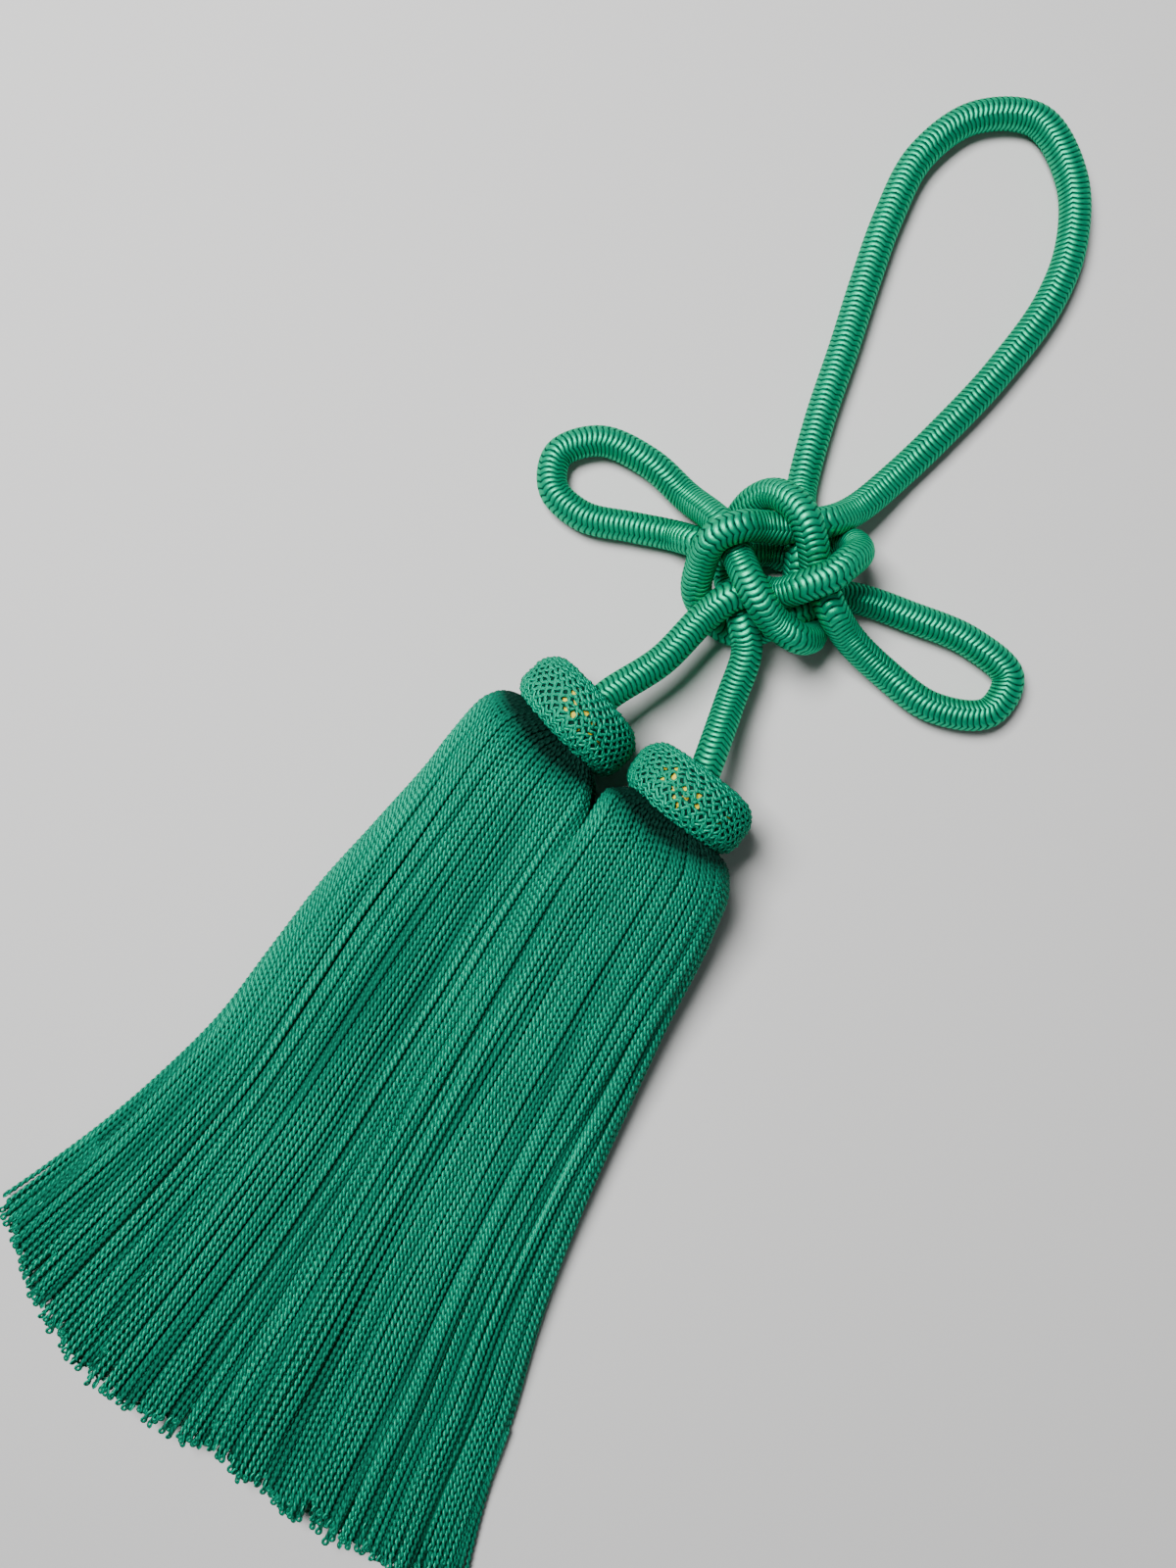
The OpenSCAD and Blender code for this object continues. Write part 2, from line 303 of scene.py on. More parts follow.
class Mesh:
    """Gathers grids of points and makes one mesh object of them, in four-sided faces."""

    def __init__(self) -> None:
        """Starts with nothing in it."""
        self.points: list[Array] = []
        self.faces: list[Array] = []
        self.uvs: list[Array] = []
        self.marks: dict[str, list[Array]] = {mark: [] for mark in MARKS}
        self.count = 0

    def take(self, points: Array, tone: Array | float, shade: Array | float) -> Array:
        """Takes in points with their marks.

        Args:
            points: a grid of points, shape (..., 3).
            tone: brightness, fitting the grid.
            shade: darkness, fitting the grid.

        Returns:
            The points' numbers in the mesh, in the grid's shape.
        """
        index = self.count + np.arange(points[..., 0].size).reshape(points.shape[:-1])
        self.count += index.size
        self.points.append(points.reshape(-1, 3))
        for mark, values in zip(MARKS, (tone, shade)):
            self.marks[mark].append(np.broadcast_to(values, index.shape).reshape(-1))
        return index

    def add_tubes(
        self, rings: Array, uv: Array, tone: Array | float, shade: Array | float,
        closed: bool = False, corners: Array | None = None,
    ) -> None:
        """Adds tubes that are given as rings of points.

        Ring i, point k is joined to ring i+1, point k+1.  An open tube gets flat ends, each made
        of strips between the two halves of the ring.

        Args:
            rings: points, shape (tubes, n, sides, 3), with an even number of sides.
            uv: places on the tube's surface, shape (tubes, n + closed, sides + 1, 2).
            tone: brightness, fitting (tubes, n, sides).
            shade: darkness, fitting the same.
            closed: whether the last ring is joined to the first.
            corners: each face's own places, shape (tubes, n - 1, sides, 4, 2).
        """
        sides = rings.shape[2]
        index = self.take(rings, tone, shade)
        if closed:
            index = np.concatenate([index, index[:, :1]], axis=1)
        index = np.concatenate([index, index[:, :, :1]], axis=2)
        self.faces.append(cell_corners(index).reshape(-1, 4))
        self.uvs.append((cell_corners(uv) if corners is None else corners).reshape(-1, 4, 2))
        if not closed:
            k = np.arange(sides // 2 - 1)
            strip = np.stack([k, k + 1, sides - 2 - k, sides - 1 - k], axis=-1)
            for ring, order in ((0, strip), (-1, strip[:, ::-1])):
                self.faces.append(index[:, ring][:, order].reshape(-1, 4))
                self.uvs.append(np.repeat(uv[:, ring, 0], strip.size, axis=0).reshape(-1, 4, 2))

    def add_threads(
        self, paths: Array, up: Array, radius: Array, tone: Array, shade: Array | float
    ) -> None:
        """Adds closed threads with a four-sided section.

        Args:
            paths: centres, shape (threads, n, 3).
            up: directions that match their shape.
            radius: distance of the section's four corners.
            tone: brightness, fitting (threads, n, 4).
            shade: darkness, fitting the same.
        """
        frames = square_frame(paths, up, closed=True)
        rings = tubes_around(paths, frames, radius, np.arange(4) / 4 * FULL_TURN)
        run = along(np.concatenate([paths, paths[:, :1]], axis=1))
        self.add_tubes(rings, tube_uv(run, 4), tone, shade, closed=True)

    def add_shell(self, outer: Array, inner: Array, kept: Array) -> None:
        """Adds a thin shell round an axis, with some of its cells left out.

        A cell has the corners a (i, j), b (i, j+1), c (i+1, j+1) and d (i+1, j).  A wall joins
        the outer and the inner face along each side where a kept cell has no kept neighbour.

        Args:
            outer: points, shape (rows + 1, turns, 3), closed along the turns.
            inner: points of the same shape.
            kept: which cells are there, shape (rows, turns).
        """
        # Painted shade: the whole shell takes the full shade colour
        index = self.take(outer, tone=1.0, shade=1.0)
        self.take(inner, tone=1.0, shade=1.0)
        deep = index.size
        a, d = index[:-1], index[1:]
        b, c = np.roll(a, -1, axis=1), np.roll(d, -1, axis=1)
        none = np.zeros((1, kept.shape[1]), dtype=bool)
        faces = [
            np.stack([a, b, c, d], axis=-1)[kept],
            np.stack([a, d, c, b], axis=-1)[kept] + deep,
        ]
        for start, stop, neighbour in (
            (a, b, np.concatenate([none, kept[:-1]])),
            (c, d, np.concatenate([kept[1:], none])),
            (b, c, np.roll(kept, -1, axis=1)),
            (d, a, np.roll(kept, 1, axis=1)),
        ):
            wall = np.stack([stop, start, start + deep, stop + deep], axis=-1)
            faces.append(wall[kept & ~neighbour])
        self.faces.append(np.concatenate(faces))
        self.uvs.append(np.zeros((len(self.faces[-1]), 4, 2)))

    def make(self, name: str, material: Material) -> Object:
        """Makes the mesh object from the points that its faces use.

        Args:
            name: the piece's plain name.
            material: its finish.

        Returns:
            The object, with a UV map, its marks as attributes and smooth faces.
        """
        used, faces = np.unique(np.concatenate(self.faces), return_inverse=True)
        points = np.concatenate(self.points)[used].astype(np.float32)
        faces = faces.reshape(-1, 4).astype(np.int32)
        mesh = bpy.data.meshes.new(name)
        mesh.vertices.add(len(points))
        mesh.vertices.foreach_set("co", points.ravel())
        mesh.loops.add(faces.size)
        mesh.loops.foreach_set("vertex_index", faces.ravel())
        mesh.polygons.add(len(faces))
        mesh.polygons.foreach_set("loop_start", np.arange(0, faces.size, 4, dtype=np.int32))
        mesh.polygons.foreach_set("use_smooth", np.ones(len(faces), dtype=bool))
        layer = mesh.uv_layers.new(name="surface")
        layer.uv.foreach_set("vector", np.concatenate(self.uvs).astype(np.float32).ravel())
        for mark, values in self.marks.items():
            attribute = mesh.attributes.new(mark, "FLOAT", "POINT")
            attribute.data.foreach_set("value", np.concatenate(values)[used].astype(np.float32))
        mesh.update(calc_edges=True)
        mesh.validate()
        mesh.materials.append(material)
        LOG.info("%s: %d triangles", name, 2 * len(faces))
        return place_object(name, mesh)


# Finishes


class Wiring:
    """Adds nodes to one node tree, each with its values and links."""

    def __init__(self, tree: NodeTree) -> None:
        """Takes the tree that the nodes go into."""
        self.tree = tree

    def feed(self, node: bpy.types.Node, inputs: Inputs) -> None:
        """Gives a node what it reads.

        Args:
            node: the node.
            inputs: for each input's name or number, a value to set or a socket to link from.
        """
        for socket, item in inputs.items():
            if isinstance(item, Socket):
                self.tree.links.new(item, node.inputs[socket])
            else:
                node.inputs[socket].default_value = item

    def add(self, kind: str, inputs: Inputs, **settings: object) -> Sockets:
        """Adds a node.

        Args:
            kind: the shader node's kind, such as Math.
            inputs: what its sockets read, as for feed.
            **settings: the node's own settings.

        Returns:
            The node's outputs.
        """
        node = self.tree.nodes.new(f"ShaderNode{kind}")
        for setting, choice in settings.items():
            setattr(node, setting, choice)
        self.feed(node, inputs)
        return node.outputs

    def value(self, operation: str, *inputs: Socket | float, clamp: bool = False) -> Socket:
        """One sum of numbers and sockets, kept between 0 and 1 if clamp is set."""
        numbered = dict(enumerate(inputs))
        return self.add("Math", numbered, operation=operation, use_clamp=clamp)["Value"]

    def noise(self, scale: float, detail: float) -> Socket:
        """A noise over the object's own coordinates, about 0.3 to 0.7."""
        place = self.add("TexCoord", {})["Object"]
        return self.add("TexNoise", {"Vector": place, "Scale": scale, "Detail": detail})["Fac"]

    def cloud(self, swing: float, low: float) -> Socket:
        """A slow noise, over some 15 mm, times the swing and added to the low."""
        return self.value("MULTIPLY_ADD", self.noise(60.0, 3.0), swing, low)

    def tinted(self, low: Socket, high: Socket, share: Socket, strength: Socket) -> Socket:
        """A colour from low to high by the share, times the strength."""
        mixed = self.add("Mix", {"Factor": share, "A": low, "B": high}, data_type="RGBA")["Result"]
        return self.add("VectorMath", {0: mixed, "Scale": strength}, operation="SCALE")["Vector"]


def new_material(name: str, values: Inputs) -> tuple[Material, Wiring, bpy.types.Node]:
    """Starts a material.

    Args:
        name: the material's name.
        values: what its shader's own sockets are set to.

    Returns:
        The material, the wiring of its nodes and its shader.
    """
    material = bpy.data.materials.new(name)
    material.use_nodes = True
    wiring = Wiring(material.node_tree)
    shader = material.node_tree.nodes["Principled BSDF"]
    wiring.feed(shader, values)
    return material, wiring, shader


@dataclass(frozen=True)
class SatinFinish(ABC):
    """Dyed satin thread: its colours where it is lit and where shade is painted on it, and how it
    takes the light.
    """

    name: str
    lit: Triple
    # colour of the painted shade in grooves, creases and sunk parts
    deep: Triple
    roughness: float = 0.5
    metallic: float = 0.4
    relief: float = 0.0001

    group_name: ClassVar[str]
    own_numbers: ClassVar[tuple[str, ...]] = ()
    inputs: ClassVar[dict[str, str]] = {
        "Surface": "Vector", "Lit Color": "Color", "Painted Shade Color": "Color", "Base Roughness": "Float",
    }
    outputs: ClassVar[dict[str, str]] = {"Color": "Color", "Roughness": "Float", "Height": "Float"}
    sheen_tint: ClassVar[Triple] = (0.25, 1.0, 0.7)

    @staticmethod
    @abstractmethod
    def pattern(wiring: Wiring, given: Sockets) -> Inputs:
        """Works out the node group's outputs from what it is given."""

    def own_inputs(self, wiring: Wiring) -> Inputs:
        """What the group reads beside the inputs that all finishes have."""
        return {}

    def group(self) -> NodeTree:
        """The node group that all finishes of this kind share, made once.

        Returns:
            The group's tree.
        """
        found = bpy.data.node_groups.get(self.group_name)
        if found:
            return found
        tree = bpy.data.node_groups.new(self.group_name, "ShaderNodeTree")
        inputs = {**self.inputs, **dict.fromkeys(self.own_numbers, "Float")}
        for sockets, way in ((inputs, "INPUT"), (self.outputs, "OUTPUT")):
            for socket, kind in sockets.items():
                tree.interface.new_socket(name=socket, in_out=way, socket_type=f"NodeSocket{kind}")
        wiring = Wiring(tree)
        made = self.pattern(wiring, tree.nodes.new("NodeGroupInput").outputs)
        wiring.feed(tree.nodes.new("NodeGroupOutput"), made)
        return tree

    def make(self) -> Material:
        """Makes the material, which reads the piece's own surface map.

        Returns:
            The material.
        """
        material, wiring, shader = new_material(self.name, {
            "Metallic": self.metallic, "Specular Tint": (*self.sheen_tint, 1.0),
        })
        made = wiring.add("Group", {
            "Surface": wiring.add("UVMap", {}, uv_map="surface")["UV"],
            "Lit Color": (*self.lit, 1.0),
            "Painted Shade Color": (*self.deep, 1.0),
            "Base Roughness": self.roughness,
            **self.own_inputs(wiring),
        }, node_tree=self.group())
        bump = wiring.add("Bump", {"Distance": self.relief, "Height": made["Height"]})
        wiring.feed(shader, {
            "Base Color": made["Color"], "Roughness": made["Roughness"], "Normal": bump["Normal"],
        })
        return material


@dataclass(frozen=True)
class ThreadFinish(SatinFinish):
    """Thread wound of plies, each with fibres along it."""

    plies: float = 2.0
    fibres: float = 9.0
    # strength of the painted shade in the groove between the plies
    groove: float = 0.85

    group_name: ClassVar[str] = "dyed_thread"
    own_numbers: ClassVar[tuple[str, ...]] = ("Tone", "Shade", "Plies", "Fibres", "Groove Shade")

    def own_inputs(self, wiring: Wiring) -> Inputs:
        """The thread's plies and fibres, and the piece's marks."""
        marks = {m.title(): wiring.add("Attribute", {}, attribute_name=m)["Fac"] for m in MARKS}
        return {"Plies": self.plies, "Fibres": self.fibres, "Groove Shade": self.groove, **marks}

    @staticmethod
    def pattern(wiring: Wiring, given: Sockets) -> Inputs:
        """Works out a thread's colour, roughness and height.

        With v the share of the way round from the surface map, the groove between plies is
        0.5 - 0.5*cos(2*pi*plies*v), and the fibres are sin(2*pi*fibres*v).  The colour goes from
        lit to the painted shade colour with the larger of the groove's painted shade and the
        shade mark, times the tone and a slow cloud.

        Args:
            wiring: adds the nodes.
            given: the group's inputs.

        Returns:
            What the group's outputs read.
        """
        value = wiring.value
        across = wiring.add("SeparateXYZ", {"Vector": given["Surface"]})["Y"]
        turn = value("MULTIPLY", across, FULL_TURN)
        ply = value("COSINE", value("MULTIPLY", turn, given["Plies"]))
        groove = value("MULTIPLY_ADD", ply, -0.5, 0.5)
        fibre = value("SINE", value("MULTIPLY", turn, given["Fibres"]))
        # Painted shade: the groove between plies and the piece's shade mark darken the colour
        cut = value("MULTIPLY", groove, given["Groove Shade"])
        depth = value("MAXIMUM", cut, given["Shade"], clamp=True)
        strength = value("MULTIPLY", given["Tone"], wiring.cloud(0.5, 0.75))
        return {
            "Color": wiring.tinted(given["Lit Color"], given["Painted Shade Color"], depth, strength),
            "Roughness": value("MULTIPLY_ADD", depth, 0.25, given["Base Roughness"]),
            "Height": value("MULTIPLY_ADD", fibre, 0.12, value("SUBTRACT", 1.0, groove)),
        }


@dataclass(frozen=True)
class BraidFinish(SatinFinish):
    """The braid's flat bundles of thread, which lie in scales."""

    roughness: float = 0.42
    metallic: float = 0.75
    relief: float = 0.00018

    group_name: ClassVar[str] = "braid_scales"

    @staticmethod
    def pattern(wiring: Wiring, given: Sockets) -> Inputs:
        """Works out the colour, roughness and height of the scales.

        With p the fraction of the phase and x the place across a column, a scale is a lens with
        the height 1 - |2p-1|^2.2 / (1 - 0.25*(2x-1)^2), not under 0, plus 0.04 * sin(2*pi*7*p)
        for the threads that lie along it.  The colour goes from the painted shade colour in the
        creases between scales to the lit colour on their middles, with 1.25 times the lens's
        height.

        Args:
            wiring: adds the nodes.
            given: the group's inputs.

        Returns:
            What the group's outputs read.
        """
        value = wiring.value
        parts = wiring.add("SeparateXYZ", {"Vector": given["Surface"]})
        p = value("FRACT", parts["X"])
        from_middle = value("ABSOLUTE", value("MULTIPLY_ADD", p, 2.0, -1.0))
        from_centre = value("MULTIPLY_ADD", parts["Y"], 2.0, -1.0)
        width = value("MULTIPLY_ADD", value("POWER", from_centre, 2.0), -0.25, 1.0)
        fall = value("DIVIDE", value("POWER", from_middle, 2.2), width)
        scale = value("SUBTRACT", 1.0, fall, clamp=True)
        thread = value("SINE", value("MULTIPLY", p, FULL_TURN * 7))
        # Painted shade in the creases between scales, lit colour on each scale's middle
        lit = value("MULTIPLY", scale, 1.25, clamp=True)
        dull, strength = value("SUBTRACT", 1.0, lit), wiring.cloud(0.4, 0.8)
        return {
            "Color": wiring.tinted(given["Painted Shade Color"], given["Lit Color"], lit, strength),
            "Roughness": value("MULTIPLY_ADD", dull, 0.3, given["Base Roughness"]),
            "Height": value("MULTIPLY_ADD", thread, 0.04, scale),
        }


@dataclass(frozen=True)
class PaintFinish:
    """A painted bead under the crochet, mottled and faintly brushed."""

    name: str
    color: Triple
    roughness: float = 0.6
    dark_share: float = 0.72
    relief: float = 0.00003

    def make(self) -> Material:
        """Makes the material: a noise runs the colour between two stops, and is the bump.

        Returns:
            The material.
        """
        material, wiring, shader = new_material(self.name, {"Roughness": self.roughness})
        mottle = wiring.noise(400.0, 4.0)
        ramp = wiring.tree.nodes.new("ShaderNodeValToRGB")
        stops = zip(ramp.color_ramp.elements, (0.3, 0.7), (self.dark_share, 1.0))
        for stop, position, share in stops:
            stop.position = position
            stop.color = (*(share * c for c in self.color), 1.0)
        wiring.feed(ramp, {"Fac": mottle})
        bump = wiring.add("Bump", {"Distance": self.relief, "Height": mottle})
        wiring.feed(shader, {"Base Color": ramp.outputs["Color"], "Normal": bump["Normal"]})
        return material


# Pieces


@dataclass
class BraidedCord:
    """The round cord braided in lengthwise columns of slanted scales."""

    radius: float = 0.00312
    columns: int = 10
    points_a_column: int = 2
    scale_pitch: float = 0.00104
    rings_a_scale: int = 5
    relief: float = 0.00011
    slant: float = 0.42
    bow: float = 0.12

    def centreline(self) -> Array:
        """The route as a smooth line that keeps off the floor.

        Returns:
            Evenly spaced points, shape (n, 3).
        """
        route = np.array(ROUTE_MM) * MM
        fine = through(route, np.linspace(0, len(route) - 1, 24 * len(route)), pace=0.5)
        fine[:, 2] = np.maximum(fine[:, 2], self.radius)
        count = round(along(fine)[-1] / self.scale_pitch * self.rings_a_scale) + 1
        return evenly(fine, count)

    def phase(self, run: Array, column: Array, x: Array) -> Array:
        """Scales passed at a length along, in one column: whole numbers lie in the creases.

        It is length / pitch, plus the slant times (x - 0.5), leaning to the other side in odd
        columns, plus the bow times (2x - 1)^2, so that the scales meet at the columns' borders.
        """
        lean = self.slant * (1 - 2 * (column % 2)) * (x - 0.5)
        return run / self.scale_pitch + lean + self.bow * (2 * x - 1) ** 2

    def build(self, material: Material) -> Object:
        """Builds the cord.

        Round the cord, c counts columns and x goes from 0 to 1 over a column.  A point's height
        is the column's arch, 1 - 0.3*(2x-1)^4, times a ridge, 0.2 + 0.8*sin(pi*phase)^2.  Each
        face's corners carry the phase and x of its own column, so that the finish draws the
        creases and threads where the mesh has its ridges.

        Args:
            material: the braid's finish.

        Returns:
            The cord.
        """
        path = self.centreline()
        run = along(path)
        per, sides = self.points_a_column, self.columns * self.points_a_column
        k = np.arange(sides)
        x = (k % per) / per
        arch = 1 - 0.3 * (2 * x - 1) ** 4
        ridge = np.sin(np.pi * self.phase(run[:, None], k // per, x)) ** 2
        radius = self.radius + self.relief * (arch * (0.2 + 0.8 * ridge) - 0.75)
        rings = tubes_around(path, untwisted_frame(path), radius, k / sides * FULL_TURN)
        x = np.stack([x, x, x + 1 / per, x + 1 / per], axis=-1)
        run_at = np.stack([run[:-1], run[1:], run[1:], run[:-1]], axis=-1)[:, None]
        phase = self.phase(run_at, (k // per)[:, None], x)
        corners = np.stack([phase, x + 0 * phase], axis=-1)[None]
        mesh = Mesh()
        uv = tube_uv(run[None], sides)
        mesh.add_tubes(rings[None], uv, tone=1.0, shade=0.0, corners=corners)
        cord = mesh.make("braided_cord", material)
        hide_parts("knotted_cord")
        return cord


@dataclass
class CrochetHead:
    """A flat round head: rows of stitches in thin thread over a thin lining painted in full shade.
    """

    name: str
    middle_mm: Triple
    turn: float
    peeps: Sequence[Triple]
    seed: int
    radius: float = 0.01262
    thickness: float = 0.0112
    upper_rounding: float = 0.0047
    lower_rounding: float = 0.0043
    eye: float = 0.0034
    neck: float = 0.0078
    thread_width: float = 0.00025
    thread_height: float = 0.00021
    ply: float = 0.0002
    winding: float = 0.0016
    stitch: float = 0.0021
    row_gap: float = 0.00103
    samples: int = 7
    loose_at: float = 0.74
    overlap: float = 0.00009
    loose_lift: float = 0.0001
    uneven_lift: float = 0.00005
    lining_depths: tuple[float, float] = (0.0002, 0.00038)

    def __post_init__(self) -> None:
        """Works out the outline, and starts the mesh and the source of unevenness."""
        self.line = self.outline()
        self.shares = np.linspace(0, 1, len(self.line))
        self.mesh = Mesh()
        self.rng = np.random.default_rng(self.seed)

    def outline(self) -> Array:
        """The rounded outline from the eye over the rim to the neck.

        The upper rim is an arc about a point one rounding in from the side and the top, the
        lower rim an arc with its own rounding about one in from the side and the bottom.

        Returns:
            Distance from the axis and height along it, shape (241, 2), evenly spaced.
        """
        bend = np.linspace(np.pi / 2, -np.pi / 2, 41)
        half = self.thickness / 2
        bow = np.where(bend >= 0, self.upper_rounding, self.lower_rounding)
        arc = np.column_stack([
            self.radius - bow + bow * np.cos(bend),
            np.where(bend >= 0, half - bow, bow - half) + bow * np.sin(bend),
        ])
        return evenly(np.concatenate([[(self.eye, half)], arc, [(self.neck, -half)]]), 241)

    def place(self, share: Array, around: Array, lift: Array | float) -> Array:
        """Points on the head.

        With r and h the outline's distance and height at the share, pushed outwards by the lift,
        the point is middle + axis * h + r * (right * cos(around) + up * sin(around)).

        Args:
            share: place along the outline, 0 at the eye to 1 at the neck.
            around: angle round the axis from its right side through up, in radians.
            lift: distance off the outline.

        Returns:
            The points, with one axis more than the arguments.
        """
        columns = np.hstack([self.line, unit(np.gradient(self.line, axis=0))])
        r, h, dr, dh = (np.interp(share, self.shares, column) for column in columns.T)
        r, h = r - dh * lift, h + dr * lift
        lean = np.radians(-self.turn)
        axis = np.array([np.sin(lean), np.cos(lean), 0])
        right = np.array([np.cos(lean), -np.sin(lean), 0])
        up = np.array([0, 0, 1.0])
        across = np.cos(around)[..., None] * right + np.sin(around)[..., None] * up
        return np.array(self.middle_mm) * MM + h[..., None] * axis + r[..., None] * across

    def peep_places(self) -> tuple[Array, Array]:
        """Finds the peep holes on the head.

        Returns:
            Their middles, shape (n, 3), and their radii, shape (n,).
        """
        degrees, height, size = np.array(self.peeps, dtype=float).T
        share = np.interp(-height * MM, -self.line[:, 1], self.shares)
        return self.place(share, np.radians(degrees), 0.0), size * MM

    def add_rows(self) -> None:
        """Adds the closed rows of stitches, each a zigzag of two plies wound about each other.

        With w going through a full turn over one stitch, the row's middle goes to and fro across
        the row as sin(w) - sin(3*w)/9, and its points nearer the neck lie over the next row.
        With q going through a full turn over one winding, a ply lies cos(q) times the swing
        beside that middle and sin(q) times the swing above it, and the plies are half a turn
        apart.  Over the lower rim the zigzag is wider and looser.
        """
        rng = self.rng
        length = along(self.line)[-1]
        rows = round(length / self.row_gap) + 1
        for row in range(rows):
            middle = row / (rows - 1)
            girth = FULL_TURN * np.interp(middle, self.shares, self.line[:, 0])
            windings = max(round(girth / self.winding), 7)
            around = FULL_TURN * np.arange(windings * self.samples) / (windings * self.samples)
            slow, fast = (smooth_noise(rng, k * np.cos(around), k * np.sin(around)) for k in (5, 9))
            w = around * max(round(girth / self.stitch), 4) + rng.uniform(0, 6) + 0.8 * slow
            loose = np.exp(-(((middle - self.loose_at) / 0.05) ** 2))
            zigzag = (0.3 + 0.3 * loose + 0.08 * fast) * (np.sin(w) - np.sin(3 * w) / 9)
            over = self.overlap * np.sin(w) + self.loose_lift * loose + self.uneven_lift * slow
            for turn in (0.0, np.pi):
                q = windings * around + turn + 0.7 * fast
                swing = self.ply * (0.85 + 0.12 * slow)
                across = zigzag * self.row_gap + swing * np.cos(q)
                share = np.clip(middle + across / length, -0.02, 1.02)
                tone = 1 + 0.12 * np.sin(0.5 * w + turn)
                self.add_thread(share, around, over + swing * np.sin(q), tone)

    def add_thread(self, share: Array, around: Array, lift: Array, tone: Array) -> None:
        """Adds one closed thread with a flat four-sided section, with painted shade where it lies
        low.

        Args:
            share: places along the outline, shape (n,).
            around: angles round the axis, shape (n,).
            lift: distances off the outline, shape (n,).
            tone: brightness of each point, shape (n,).
        """
        path = self.part_threads(self.place(share, around, lift))
        up = self.place(share, around, lift + 0.001) - path
        radius = np.array([self.thread_width, self.thread_height] * 2)
        # Painted shade on the thread where it lies low, down among the stitches
        deep = np.clip(0.3 - lift / 0.0004, 0, 1)
        marks = (tone[None, :, None], deep[None, :, None])
        self.mesh.add_threads(path[None], up[None], radius, *marks)

    def part_threads(self, path: Array) -> Array:
        """Pushes thread aside from the middle of each peep hole, out to its edge.

        The push is the reach less the distance from the middle, fading with that distance.

        Args:
            path: points, shape (n, 3).

        Returns:
            The points after the push.
        """
        holes, sizes = self.peep_places()
        off = path[:, None] - holes
        apart = np.linalg.norm(off, axis=-1, keepdims=True)
        reach = 1.15 * sizes[:, None] + self.thread_width
        push = np.clip(reach - apart, 0, None) * np.exp(-((apart / (2 * reach)) ** 2))
        return path + (unit(off) * push).sum(axis=1)

    def add_shaded_lining(self) -> None:
        """Adds the lining: a thin shell under the rows, left out in the peep holes.

        The shell is a grid round the head, with small cells where the peep holes are.  It is
        painted in full shade.
        """
        share = np.concatenate([
            np.linspace(0, 0.22, 7)[:-1], np.linspace(0.22, 0.68, 37), np.linspace(0.68, 1, 10)[1:]
        ])[:, None]
        around = np.radians(np.concatenate([np.arange(48, 144, 1.5), np.arange(144, 408, 8.0)]))
        share, around = share + 0 * around, around + 0 * share
        outer, inner = (self.place(share, around, -depth) for depth in self.lining_depths)
        centre = (outer[:-1] + outer[1:]) / 2
        centre = (centre + np.roll(centre, -1, axis=1)) / 2
        holes, sizes = self.peep_places()
        apart = np.linalg.norm(centre[..., None, :] - holes, axis=-1)
        self.mesh.add_shell(outer, inner, ~(apart < 1.1 * sizes + 0.0002).any(axis=-1))

    def build(self, material: Material) -> Object:
        """Builds the head.

        Args:
            material: the thread's finish.

        Returns:
            The head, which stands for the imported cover.
        """
        self.add_rows()
        self.add_shaded_lining()
        head = self.mesh.make(f"{self.name}_head_crochet", material)
        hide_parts(f"{self.name}_head_cover")
        return head


class Side(Enum):
    """The side of a skirt that lies against the other skirt, as a direction along X."""

    LEFT = -1
    RIGHT = 1


@dataclass(frozen=True)
class LayerPlan:
    """One layer of strands.

    The level is its share of the way down, sunk its depth under that, start the row it runs
    from, rings the points of a strand, stagger what is cut off, and pull that of the locks.
    """

    strands: int
    level: float
    sunk: float
    start: float
    rings: int
    stagger: float = 0.0
    pull: float = 0.0


# Under the top: two layers next to it, one on the floor, and three between them at the hem
LAYERS = (
    LayerPlan(47, level=0.0, sunk=0.0014, start=0.0, rings=48),
    LayerPlan(44, level=0.0, sunk=0.0019, start=6.0, rings=28),
    LayerPlan(46, level=1.0, sunk=0.0005, start=0.3, rings=34),
    LayerPlan(40, level=0.28, sunk=0.0, start=12.2, rings=12, stagger=0.0004),
    LayerPlan(41, level=0.5, sunk=0.0, start=12.3, rings=12, stagger=0.0008),
    LayerPlan(40, level=0.72, sunk=0.0, start=12.4, rings=12, stagger=0.0002),
)


